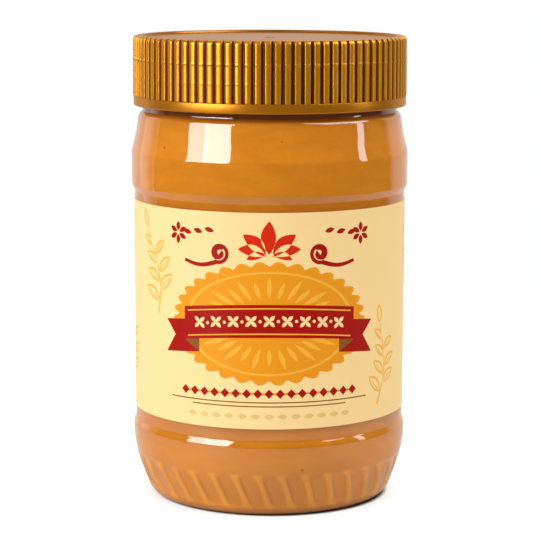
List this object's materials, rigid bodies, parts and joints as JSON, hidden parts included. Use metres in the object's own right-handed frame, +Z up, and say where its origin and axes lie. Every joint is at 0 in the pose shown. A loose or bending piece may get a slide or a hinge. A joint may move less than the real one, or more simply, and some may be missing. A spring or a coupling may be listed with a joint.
{
  "type": "peanut butter jar",
  "caption": "Clear screw-top jar of smooth peanut butter with a fluted heel, a paper sleeve label and a ribbed golden-brown cap.",
  "frame": {"origin": "middle of the foot ring that the jar stands on", "axes": "+Z up along the jar's axis; the label's front faces -Y"},
  "size_m": [0.0744, 0.0744, 0.1242],
  "materials": {
    "jar_clear": "clear, glossy blow-moulded plastic",
    "peanut_butter": "smooth oily paste",
    "label_paper": "satin printed paper",
    "lid_plastic": "satin moulded plastic"
  },
  "bodies": {
    "root": {"jar": "jar_clear", "peanut_butter": "peanut_butter", "label": "label_paper", "lid": "lid_plastic"}
  },
  "joints": []
}
